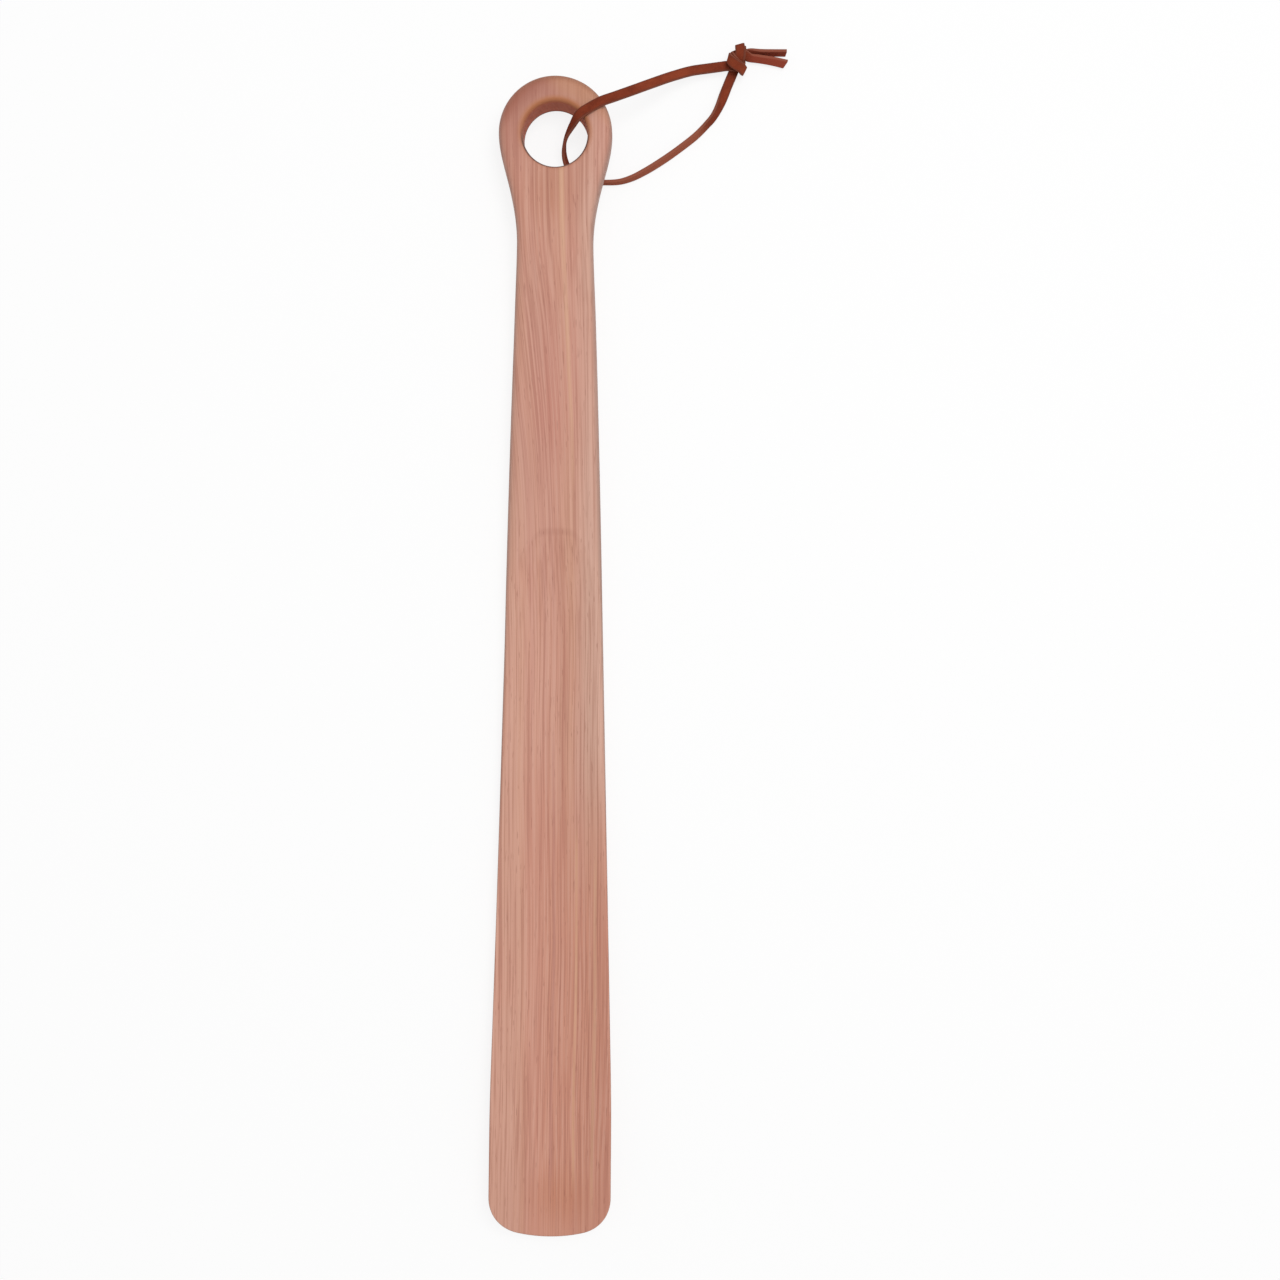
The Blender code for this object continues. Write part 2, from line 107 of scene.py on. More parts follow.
class Finish:
    # one material, or the sky, and the tree of nodes behind it
    def __init__(self, name, sky=False):
        self.material = (bpy.data.worlds if sky else bpy.data.materials).new(name)
        self.material.use_nodes = True
        self.tree = self.material.node_tree
        self.shader = self.tree.nodes["Background" if sky else "Principled BSDF"]

    def feed(self, socket, value):
        if isinstance(value, Wire):
            self.tree.links.new(value.socket, socket)
        else:
            socket.default_value = value

    def node(self, kind, settings=None, values=None, output=0):
        # values are numbers or wires, by the names of the sockets or in their order
        made = self.tree.nodes.new(kind)
        for name, value in (settings or {}).items():
            setattr(made, name, value)
        values = values or {}
        for name, value in values.items() if isinstance(values, dict) else enumerate(values):
            self.feed(made.inputs[name], value)
        return Wire(self, made.outputs[output])

    def vector(self, x, y, z):
        return self.node("ShaderNodeCombineXYZ", None, [x, y, z])

    def split(self, vector):
        node = self.node("ShaderNodeSeparateXYZ", None, [vector]).socket.node
        return [Wire(self, out) for out in node.outputs]

    def noise(self, vector, scale=1.0, detail=2.0, roughness=0.5):
        values = {"Vector": vector, "Scale": scale, "Detail": detail, "Roughness": roughness}
        return self.node("ShaderNodeTexNoise", {"noise_dimensions": "3D"}, values)

    def ramp(self, value, low, high, start=0.0, end=1.0):
        # smooth change from start to end as the value goes from low to high
        settings = {"interpolation_type": "SMOOTHSTEP", "clamp": True}
        return self.node("ShaderNodeMapRange", settings, [value, low, high, start, end])

    def lay(self, base, mask, paint):
        # paint is red, green, blue and the strength that it has where the mask is 1
        settings = {"data_type": "RGBA", "clamp_factor": True}
        values = {0: mask * paint[3], 6: base, 7: colour(*paint[:3])}
        return self.node("ShaderNodeMix", settings, values, output=2)

    def bump(self, height, distance, strength):
        values = {"Height": height, "Distance": distance, "Strength": strength}
        return self.node("ShaderNodeBump", None, values)

    def seen(self):
        # 1 where the camera looks, straight or by a mirror or through glass, 0 for all else
        rays = [self.node("ShaderNodeLightPath", output=f"Is {kind} Ray")
                for kind in ("Camera", "Glossy", "Transmission")]
        return rays[0].maths("MAXIMUM", rays[1]).maths("MAXIMUM", rays[2])

    def surface(self, **values):
        for name, value in values.items():
            self.feed(self.shader.inputs[name.replace("_", " ")], value)
        return self.material


def colour(red, green, blue):
    # a colour as it looks on a screen, 0 to 255, turned into light
    parts = np.array([red, green, blue]) / 255
    light = np.where(parts <= 0.04045, parts / 12.92, ((parts + 0.055) / 1.055) ** 2.4)
    return (*[float(part) for part in light], 1.0)


def hermite(at, knots):
    # through knots of place, value and slope: a cubic between each two
    place, value, slope = (np.array(column, float) for column in zip(*knots))
    k = np.clip(np.searchsorted(place, at) - 1, 0, len(place) - 2)
    span = place[k + 1] - place[k]
    t = np.clip((at - place[k]) / span, 0, 1)
    start = (2 * t**3 - 3 * t**2 + 1) * value[k] + (t**3 - 2 * t**2 + t) * span * slope[k]
    end = (3 * t**2 - 2 * t**3) * value[k + 1] + (t**3 - t**2) * span * slope[k + 1]
    return start + end


def smoothStep(value, start, end):
    # 3 t^2 - 2 t^3, where t is the share of the way from start to end
    share = np.clip((value - start) / (end - start), 0, 1)
    return share * share * (3 - 2 * share)


def gridFaces(rows, columns, closedRows=False, closedColumns=False):
    # corner numbers of the four-sided faces of a grid, row by row
    i = np.arange(rows if closedRows else rows - 1)[:, None]
    j = np.arange(columns if closedColumns else columns - 1)[None, :]
    up, right = (i + 1) % rows, (j + 1) % columns
    corners = [i * columns + j, i * columns + right, up * columns + right, up * columns + j]
    return np.stack(corners, axis=-1).reshape(-1, 4)


def makePiece(name, patches, finish, smoothAngle=50, along=None):
    # patches are pairs of points in mm and faces, along is the place of each point on the
    # strap's map; seams are merged and faces turned out
    points, faces, start = [], [], 0
    for patchPoints, patchFaces in patches:
        points.append(np.asarray(patchPoints, float).reshape(-1, 3))
        faces += (np.asarray(patchFaces) + start).tolist()
        start += len(points[-1])
    data = bpy.data.meshes.new(name)
    data.from_pydata((np.concatenate(points) * mm).tolist(), [], faces)
    if along is not None:
        layer = data.uv_layers.new(name="strap")
        loopPoints = np.empty(len(data.loops), int)
        data.loops.foreach_get("vertex_index", loopPoints)
        layer.data.foreach_set("uv", np.asarray(along, float)[loopPoints].ravel())
    shape = bmesh.new()
    shape.from_mesh(data)
    bmesh.ops.remove_doubles(shape, verts=shape.verts, dist=seam)
    bmesh.ops.recalc_face_normals(shape, faces=shape.faces)
    shape.to_mesh(data)
    shape.free()
    data.shade_smooth()
    data.set_sharp_from_angle(angle=math.radians(smoothAngle))
    data.materials.append(finish)
    piece = bpy.data.objects.new(name, data)
    bpy.context.scene.collection.objects.link(piece)
    return piece


# The lace is one flat strap. Its route is in mm from the middle of the hanging hole.
lace = {
    "hole": (0.0, 201.8),
    "width": 3.8,
    "thickness": 1.4,
    "floorGap": 0.3,
    "overHead": 18.8,             # height of its middle where it lies on the head
    "routeStep": 2.4,
    "fineStep": 0.6,
    "knotStep": 0.95,
    "knotWidth": 3.75,
    "knotThickness": 1.16,
    "knotPitch": 1.2,             # between the two laces of the pair, in the knot
    "knotShift": 0.4,             # the same to the side, so that both edges show
    "knotMiddle": (70.47, 33.67),
    "knotHeight": 4.2,
    "tuck": 3.0,                  # how far the loop goes on inside each end
    "tuckSlack": 0.12,
    "corner": 0.32,               # how square the cut edges are, 1 is round
    "sides": 20,
    "endStep": 0.36,
    "cutReach": 4.0,              # how far from the cut end its slant is felt
    "mapLength": 100.0,           # how much of the strap its map counts as 1
}

# x, y, the share of the way from the floor up to the head's front, and the turn of the
# flat side in degrees: from the knot over the head, down the hole and back below it
loopRoute = [
    (64.4, 30.6, 0.2, 0),
    (59.2, 29.8, 0.21, 0),
    (53.0, 28.3, 0.3, 0),
    (46.0, 25.3, 0.47, 0),
    (36.6, 20.1, 0.78, 0),
    (29.7, 16.5, 0.95, 0),
    (22.8, 13.7, 1.0, 0),
    (17.3, 11.7, 1.0, 0),
    (15.0, 10.5, 1.0, 0),
    (12.7, 9.1, 1.01, 1),
    (10.3, 7.6, 0.99, 7),
    (8.5, 6.2, 0.89, 24),
    (6.8, 4.6, 0.71, 38),
    (5.6, 3.4, 0.574, 50),
    (4.4, 1.9, 0.45, 66),
    (3.5, 0.2, 0.33, 77),
    (3.0, -1.7, 0.22, 89),
    (2.9, -3.5, 0.12, 100),
    (3.3, -5.9, 0.05, 110),
    (4.1, -8.0, 0.01, 116),
    (6.0, -10.5, 0.0, 112),
    (9.5, -12.9, 0.0, 100),
    (14.2, -14.2, 0.0, 94),
    (19.4, -14.4, 0.0, 90),
    (25.1, -14.0, 0.0, 86),
    (29.8, -12.5, 0.0, 80),
    (34.5, -10.1, 0.0, 75),
    (41.6, -5.7, 0.0, 72),
    (48.6, -0.7, 0.0, 72),
    (55.7, 5.1, 0.0, 70),
    (59.0, 8.6, 0.0, 68),
    (61.1, 11.0, 0.0, 64),
    (62.6, 13.4, 0.0, 58),
    (63.8, 15.8, 0.005, 48),
    (64.8, 18.2, 0.015, 34),
    (65.7, 20.5, 0.04, 18),
    (66.6, 22.8, 0.07, 6),
    (67.75, 25.55, 0.11, 0),
]

# The pair's way through the knot, from the knot's middle, and the way that it faces
knotRoute = [
    (2.9, 1.75, -0.2, 0, 0.58, -0.82),
    (0.7, 1.6, -0.1, 0, 0.2, -0.98),
    (-1.45, 0.8, 0.0, -0.35, 0, -1),
    (-2.5, -0.1, 2.0, -0.98, 0.2, 0.1),
    (-1.9, -2.1, 4.2, -0.45, -0.3, 0.8),
    (-0.8, -3.3, 4.5, -0.1, -0.35, 0.9),
    (0.8, -4.1, 3.8, 0.1, -0.35, 0.9),
    (2.0, -4.5, 2.2, 0.7, -0.5, 0.6),
    (2.35, -4.2, 0.2, 0.87, -0.49, 0),
    (1.95, -2.35, -1.95, 0.6, -0.3, -0.75),
    (1.5, 0.0, -2.7, 0, 0, -1),
    (1.5, 1.9, -2.8, 0, 0, -1),
    (1.6, 3.8, -1.9, 0, 0.7, -0.7),
    (1.5, 4.8, 0.0, -0.24, 0.97, 0),
    (1.4, 4.0, 1.8, -0.2, 0.7, 0.7),
    (1.3, 2.3, 2.75, 0, 0.1, 1),
    (1.2, 0.6, 2.8, 0, 0, 1),
    (0.9, -0.8, 2.0, 0, -0.45, 0.9),
    (0.35, -2.0, 0.75, 0, -0.5, 0.9),
    (-0.25, -2.6, 0.05, 0, -0.3, 1),
]
laceEnds = {
    "laceEndUpper": {
        "node": "lace_end_upper",
        "side": 1,                # outside in the folds
        "cut": 0.15,              # slant of the cut end
        "tail": [
            (19.4, 3.3, -1.9, 0, 0.985, -0.17),
            (15.0, 3.25, -1.8, 0, 0.985, -0.17),
            (8.6, 3.1, -1.4, 0, 0.97, -0.24),
            (4.9, 2.95, -1.1, 0, 0.87, -0.5),
        ],
        "wayOut": [
            (-1.7, -2.9, 0.4, 0, 0, 1),
            (-3.6, -2.6, -0.1, 0, 0, 1),
            (-5.55, -2.93, 0.28, 0, 0, 1),
        ],
    },
    "laceEndLower": {
        "node": "lace_end_lower",
        "side": -1,
        "cut": 0.55,
        "tail": [
            (19.2, -1.3, -1.3, 0, 0.87, -0.5),
            (14.9, -0.4, -1.1, 0, 0.9, -0.44),
            (8.5, 0.55, -0.9, 0, 0.93, -0.37),
            (4.9, 0.95, -0.6, 0, 0.87, -0.5),
        ],
        "wayOut": [
            (-0.8, -3.6, -1.25, 0, 0, 1),
            (-1.6, -5.4, -1.4, 0, 0, 1),
            (-2.5, -7.7, -1.3, 0, 0, 1),
        ],
    },
}


def smoothPath(rows, step):
    # a curve through the rows: cubics whose slope at a row weighs both neighbouring spans
    rows = np.array(rows, float)
    chord = np.linalg.norm(np.diff(rows[:, :3], axis=0), axis=1)
    at = np.concatenate([[0.0], np.cumsum(chord)])
    slope = np.diff(rows, axis=0) / chord[:, None]
    before, after = chord[:-1, None], chord[1:, None]
    inner = (slope[:-1] * after + slope[1:] * before) / (before + after)
    tangent = np.concatenate([slope[:1], inner, slope[-1:]])
    fine = 40 * len(rows)         # points on the curve before it is divided evenly
    where = np.linspace(0.0, at[-1], fine)
    k = np.clip(np.searchsorted(at, where) - 1, 0, len(chord) - 1)
    span = chord[k][:, None]
    t = (where - at[k])[:, None] / span
    curve = (2 * t**3 - 3 * t**2 + 1) * rows[k] + (t**3 - 2 * t**2 + t) * span * tangent[k]
    curve += (3 * t**2 - 2 * t**3) * rows[k + 1] + (t**3 - t**2) * span * tangent[k + 1]
    run = np.linalg.norm(np.diff(curve[:, :3], axis=0), axis=1)
    length = np.concatenate([[0.0], np.cumsum(run)])
    even = np.linspace(0.0, length[-1], int(round(length[-1] / step)) + 1)
    return np.stack([np.interp(even, length, column) for column in curve.T], axis=1)


def strapFrames(centres, faces):
    # directions along the strap, across it, and out of its flat side
    along = np.gradient(centres, axis=0)
    along /= np.linalg.norm(along, axis=1)[:, None]
    out = faces - (faces * along).sum(axis=1)[:, None] * along
    out /= np.linalg.norm(out, axis=1)[:, None]
    return along, np.cross(along, out), out


def strapPatches(centres, faces, widths, thicknesses, cut=0.0):
    # point = centre + across * width/2 * cos^p + out * thickness/2 * sin^p, with p small for
    # square cut edges; the first end is cut aslant, and each end closes in three loops
    along, across, out = strapFrames(centres, faces)
    turn = np.linspace(0, 2 * math.pi, lace["sides"], endpoint=False) + math.pi / lace["sides"]
    square = lace["corner"]
    u = np.sign(np.cos(turn)) * np.abs(np.cos(turn)) ** square
    v = np.sign(np.sin(turn)) * np.abs(np.sin(turn)) ** square
    side = across[:, None, :] * (widths / 2)[:, None, None] * u[None, :, None]
    rise = out[:, None, :] * (thicknesses / 2)[:, None, None] * v[None, :, None]
    run = np.concatenate([[0], np.cumsum(np.linalg.norm(np.diff(centres, axis=0), axis=1))])
    slant = cut * (1 - smoothStep(run, 0, lace["cutReach"]))[:, None] * u[None, :]
    skin = centres[:, None, :] + side + rise + along[:, None, :] * slant[..., None]
    shares = np.array([0.93, 0.6, 0.0])     # size of the closing loops
    bulge = np.array([0.08, 0.16, 0.18])    # and how far out they stand, in mm
    caps, capRuns = [], []
    for end, way in ((0, -1), (-1, 1)):
        middle = centres[end]
        loops = middle + (skin[end] - middle) * shares[:, None, None]
        loops = loops + along[end] * way * bulge[:, None, None]
        caps.append(loops)
        capRuns.append(np.full(3, run[end]))
    points = np.concatenate([caps[0][::-1], skin, caps[1]])
    runs = np.concatenate([capRuns[0], run, capRuns[1]])
    share = np.broadcast_to(0.5 + 0.5 * u, points.shape[:2])
    mapRun = np.broadcast_to(runs[:, None] / lace["mapLength"], share.shape)
    strap = np.stack([mapRun, share], axis=-1)
    faceList = gridFaces(len(points), lace["sides"], closedColumns=True)
    return [(points, faceList)], strap.reshape(-1, 2)


def loopCentres(step):
    # the loop's rows lifted so that the turned strap clears the floor
    rows = []
    span = lace["overHead"] - lace["floorGap"] - lace["thickness"] / 2
    for x, y, rise, turn in loopRoute:
        tilt = math.radians(turn)
        edge = lace["width"] * abs(math.sin(tilt)) + lace["thickness"] * abs(math.cos(tilt))
        z = lace["floorGap"] + edge / 2 + rise * span
        rows.append((x + lace["hole"][0], y + lace["hole"][1], z, tilt))
    path = smoothPath(rows, step)
    upright = np.tile((0.0, 0.0, 1.0), (len(path), 1))
    along, across, out = strapFrames(path[:, :3], upright)
    turns = path[:, 3:]
    return path[:, :3], out * np.cos(turns) + np.cross(along, out) * np.sin(turns)


def endCentres(settings, step):
    # one lace of the pair: tail, its side of the pair through the knot, and its way out
    pair = smoothPath(knotRoute, lace["knotStep"])
    across, faces = strapFrames(pair[:, :3], pair[:, 3:])[1:]
    offset = lace["knotPitch"] * faces + lace["knotShift"] * across
    folded = np.hstack([pair[:, :3] + settings["side"] * offset / 2, faces])
    rows = np.vstack([settings["tail"], folded, settings["wayOut"]])
    rows[:, 0] += lace["knotMiddle"][0] + lace["hole"][0]
    rows[:, 1] += lace["knotMiddle"][1] + lace["hole"][1]
    rows[:, 2] += lace["knotHeight"]
    tight = np.zeros(len(rows))
    tight[len(settings["tail"]) - 1 : len(settings["tail"]) + len(pair) + 1] = 1
    path = smoothPath(np.column_stack([rows, tight]), step)
    return path[:, :3], path[:, 3:6], np.clip(path[:, 6], 0, 1)


# Colours as the eye sees them, 0 to 255; a fourth number is how strongly it is laid on. The
# flat sides are dark, the cut edges show a paler core.
suede = {
    "flat": (126, 53, 32),
    "dark": (106, 43, 26, 0.7),
    "pale": (152, 70, 42, 0.6),
    "nap": (158, 86, 58, 0.3),
    # painted shade towards the strap's edges
    "edgeBand": (98, 56, 44, 0.6),
    "cutEdge": (148, 88, 70, 0.8),
    # painted light: the tails, tilted away from the lamp, are made paler
    "tail": (172, 79, 60, 0.6),
    "tailFrom": (0.0735, 0.077),  # along x, in m
    "lowTailLight": (0.2385, 0.236),   # along y, in m, where the tail's colour is twice as strong
    # painted light on the stretch that stands on its edge
    "onEdgeLight": (164, 92, 70, 0.8),
    "onEdgeFrom": (92, 102),      # the stretch that stands on its edge, in mm along the loop
    "onEdgeTo": (156, 148),
    "roughness": (0.86, 0.98),
    "gloss": 0.12,
    "sheen": 0.06,
    "sheenRoughness": 0.5,
    "sheenTint": (190, 110, 80),
    "napDepth": 0.00012,          # in m
}


def suedeFinish():
    finish = Finish("laceSuede")
    place = finish.node("ShaderNodeTexCoord", output="Object")
    x, y = finish.split(place)[:2]
    run, share = finish.split(finish.node("ShaderNodeUVMap", {"uv_map": "strap"}))[:2]
    nap = finish.noise(place, scale=2400, detail=3, roughness=0.6)
    patchy = finish.noise(place, scale=260, detail=3, roughness=0.55)
    worn = finish.noise(finish.vector(run * 9, share * 0.6, 0.5), detail=3)
    base = colour(*suede["flat"])
    base = finish.lay(base, finish.ramp(patchy, 0.42, 0.7), suede["dark"])
    base = finish.lay(base, finish.ramp(worn, 0.45, 0.7), suede["pale"])
    base = finish.lay(base, finish.ramp(nap, 0.45, 0.75), suede["nap"])

    # away is 0 in the middle of the strap's width and 0.5 on its cut edges
    away = abs(share - 0.5)
    # painted shade darkens the strap towards its edges
    base = finish.lay(base, finish.ramp(away, 0.3, 0.43), suede["edgeBand"])
    # painted light: the tails, tilted away from the lamp, are made paler, the lower one twice as
    # much
    tailLight = finish.ramp(x, *suede["tailFrom"]) * finish.ramp(y, *suede["lowTailLight"], 0.5, 1.0)
    base = finish.lay(base, tailLight, suede["tail"])
    run = run * lace["mapLength"]
    # painted light: the stretch that stands on its edge is made paler, as if its tilted sides were
    # lit
    onEdgeLight = finish.ramp(run, *suede["onEdgeFrom"]) * finish.ramp(run, *suede["onEdgeTo"])
    base = finish.lay(base, onEdgeLight, suede["onEdgeLight"])
    frayed = finish.ramp(nap + patchy * 0.5, 0.5, 0.95, 0.6, 1.0)
    base = finish.lay(base, finish.ramp(away, 0.45, 0.48) * frayed, suede["cutEdge"])
    return finish.surface(
        Base_Color=base,
        Roughness=finish.ramp(nap, 0.3, 0.7, *suede["roughness"]),
        Specular_IOR_Level=suede["gloss"],
        Sheen_Weight=suede["sheen"],
        Sheen_Roughness=suede["sheenRoughness"],
        Sheen_Tint=colour(*suede["sheenTint"]),
        Normal=finish.bump(nap * 0.7 + patchy * 0.6, suede["napDepth"], 0.8),
    )


def makeLace():
    leather = suedeFinish()
    ends, tucked = [], []
    step = lace["endStep"]
    for name, settings in laceEnds.items():
        endLine, endFaces, tight = endCentres(settings, step)
        widths = lace["width"] + (lace["knotWidth"] - lace["width"]) * tight
        thick = lace["thickness"] + (lace["knotThickness"] - lace["thickness"]) * tight
        patches, strap = strapPatches(endLine, endFaces, widths, thick, settings["cut"])
        end = makePiece(name, patches, leather, along=strap)
        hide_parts(settings["node"])
        ends.append(end)
        inside = slice(-int(lace["tuck"] / step), -1)
        tucked.append((endLine[inside], endFaces[inside]))

    # the free stretch, which starts and stops a little way inside the two ends
    centres, faces = loopCentres(lace["fineStep"])
    slack = np.zeros(len(centres))
    for (line, lineFaces), order in zip(tucked, (1, -1)):
        extra = np.full(len(line), lace["tuckSlack"])
        centres = np.concatenate([line, centres][::order])
        faces = np.concatenate([lineFaces, faces][::order])
        slack = np.concatenate([extra, slack][::order])
    patches, strap = strapPatches(
        centres, faces, lace["width"] - slack, lace["thickness"] - slack
    )
    loop = makePiece("laceLoop", patches, leather, along=strap)
    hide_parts("lace_loop")
    for piece in (loop, *ends):
        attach(piece, "lace")
    path = (loopCentres(lace["routeStep"])[0] * mm).tolist()


makeLace()


# The wood, in mm. Distances named FromHead run down from the top of the head.
wood = {
    "length": 450.0,
    "headWidth": 43.8,
    "sideKnots": [                # from the head, half width, slope
        (21.9, 21.9, 0.0),
        (42.0, 17.96, -0.255),
        (65.0, 14.73, 0.019),
        (90.0, 15.65, 0.035),
        (188.0, 18.5, 0.024),
        (385.0, 23.3, 0.025),
        (412.0, 23.6, 0.0),
    ],
    "tipRadius": 42.0,
    "cornerRadius": 15.6,
    "thickness": 13.0,
    "headLift": 4.8,
    "headFlat": 48.0,
    "restFromHead": 105.0,
    "sweepFromHead": 285.0,
    "tipLift": 8.0,
    "edgeRadius": 4.0,
    "scoopFromHead": 175.0,
    "scoopRunout": 56.0,
    "scoopDepth": 5.6,
    "scoopRadius": 46.0,
    "crease": 0.35,
    "taper": 2.0,
    "taperFromHead": 110.0,
    "bladeThickness": 3.0,
    "thinFromHead": 345.0,
    "tipThickness": 1.8,
    "tipBevel": 25.0,
    "backRadius": 42.0,
    "backFromHead": 200.0,
    "backBlend": 140.0,
    "holeRadius": 12.5,
    "holeFromHead": 23.2,
    "frontRim": 1.8,
    "backRim": 0.8,
    "neckFromHead": 57.0,         # where the ring of the head meets the handle's rows
    "thinEdge": 0.42,             # most of the thickness that one rounded edge takes
    "rowStep": 1.5,
    "headStep": 1.2,
    "columns": 44,
    "edgeSteps": 8,
    "ringSteps": 12,
    "boreSteps": 8,
    "arcSteps": 200,              # the outline is laid out this finely before it is divided
    "sideSteps": 4000,
    "crownSteps": 300,
}


def backHeight(x, y):
    # lift under the head, sweep up at the tip, and x^2 / 2R where the back is round
    fromHead = wood["length"] / 2 - y
    lift = wood["headLift"] * (1 - smoothStep(fromHead, wood["headFlat"], wood["restFromHead"]))
    sweep = np.maximum(fromHead - wood["sweepFromHead"], 0)
    sweep = sweep / (wood["length"] - wood["sweepFromHead"])
    roundEnd = wood["backFromHead"] + wood["backBlend"]
    roundness = smoothStep(fromHead, wood["backFromHead"], roundEnd) / wood["backRadius"]
    return lift + wood["tipLift"] * sweep**2 + roundness * x * x / 2


def frontHeight(x, y):
    # the lower of the flat face and the hollow, softened where they meet
    fromHead = wood["length"] / 2 - y
    scoopEnd = wood["scoopFromHead"] + wood["scoopRunout"]
    taper = wood["taper"] * smoothStep(fromHead, wood["taperFromHead"], scoopEnd)
    flat = backHeight(0 * x, y) + wood["thickness"] - taper
    along = np.minimum((fromHead - wood["scoopFromHead"]) / wood["scoopRunout"], 1)
    depth = wood["scoopDepth"] * (1 - (1 - along) ** 2)
    left = wood["thickness"] - wood["taper"] - wood["scoopDepth"]
    thinFrom = scoopEnd - wood["scoopRunout"] / 4
    thinning = smoothStep(fromHead, thinFrom, wood["thinFromHead"])
    depth = depth + (left - wood["bladeThickness"]) * thinning
    bevel = smoothStep(fromHead, wood["length"] - wood["tipBevel"], wood["length"])
    depth = depth + (wood["bladeThickness"] - wood["tipThickness"]) * bevel
    hollow = flat - depth + x * x / (2 * wood["scoopRadius"])
    return (flat + hollow - np.hypot(flat - hollow, wood["crease"])) / 2


def rightOutline():
    # the right-hand edge as a dense line from the middle of the tip to the top of the head:
    # tip arc, corner arc, side line through its knots, head arc
    half, top = wood["sideKnots"][-1][1], wood["length"] / 2
    tipY = wood["tipRadius"] - top
    cornerX = half - wood["cornerRadius"]
    reach = wood["tipRadius"] - wood["cornerRadius"]
    cornerY = tipY - math.sqrt(reach**2 - cornerX**2)
    turn = math.atan2(cornerX, tipY - cornerY)
    arc = wood["arcSteps"]
    tip = np.linspace(0, turn, arc)
    corner = np.linspace(turn, math.pi / 2, arc)
    headY = top - wood["headWidth"] / 2
    side = np.linspace(cornerY, headY, wood["sideSteps"])
    head = np.linspace(0, math.pi / 2, wood["crownSteps"])
    knots = wood["sideKnots"]
    sideX = np.where(side < top - knots[-1][0], half, hermite(top - side, knots))
    tipArc = np.stack([np.sin(tip), -np.cos(tip)], 1) * wood["tipRadius"] + [0, tipY]
    cornerArc = np.stack([np.sin(corner), -np.cos(corner)], 1) * wood["cornerRadius"]
    headArc = np.stack([np.cos(head), np.sin(head)], 1) * wood["headWidth"] / 2
    parts = [tipArc, cornerArc[1:] + [cornerX, cornerY], np.stack([sideX, side], 1)[1:]]
    line = np.concatenate(parts + [headArc[1:] + [0, headY]])
    run = np.concatenate([[0], np.cumsum(np.linalg.norm(np.diff(line, axis=0), axis=1))])
    marks = {
        "corner": np.interp((turn + math.pi / 2) / 2, corner, run[arc - 1 : 2 * arc - 1]),
        "neck": np.interp(top - wood["neckFromHead"], line[2 * arc :, 1], run[2 * arc :]),
        "top": run[-1],
    }
    return line, run, marks


def outlineAt(where):
    # points and inward normals at distances from the middle of the tip; below 0 is the left
    line, run, marks = rightOutline()
    mirror = np.sign(where) + (where == 0)
    at = np.abs(where)
    over = at > marks["top"]      # past the top of the head, down the other side
    at = np.where(over, 2 * marks["top"] - at, at)
    mirror = np.where(over, -mirror, mirror)
    ahead = np.gradient(line, run, axis=0)
    ahead /= np.linalg.norm(ahead, axis=1)[:, None]
    x, y = (np.interp(at, run, column) for column in line.T)
    dx, dy = (np.interp(at, run, column) for column in ahead.T)
    size = np.hypot(dx, dy)
    return np.stack([x * mirror, y], 1), np.stack([-dy / size * mirror, dx / size], 1)


def edgeBand(points, normals):
    # the rounded edge: from the front down the side to the back, a quarter circle at each
    deep = frontHeight(points[:, 0], points[:, 1]) - backHeight(points[:, 0], points[:, 1])
    radius = np.minimum(wood["edgeRadius"], wood["thinEdge"] * deep)[:, None]
    angle = np.linspace(math.pi / 2, 0, wood["edgeSteps"] + 1)[None, :]
    inset = radius * (1 - np.cos(angle))
    drop = radius * (1 - np.sin(angle))
    x = points[:, :1] + normals[:, :1] * inset
    y = points[:, 1:] + normals[:, 1:] * inset
    front = np.stack([x, y, frontHeight(x, y) - drop], -1)
    back = np.stack([x, y, backHeight(x, y) + drop], -1)[:, ::-1]
    middle = (front[:, -1:] + back[:, :1]) / 2
    return np.concatenate([front, middle, back], axis=1)


def bothFaces(x, y):
    # the wood's front and back over one grid of x and y
    grid = gridFaces(*x.shape)
    front = np.stack([x, y, frontHeight(x, y)], -1)
    back = np.stack([x, y, backHeight(x, y)], -1)
    return [(front, grid), (back, grid[:, ::-1])]


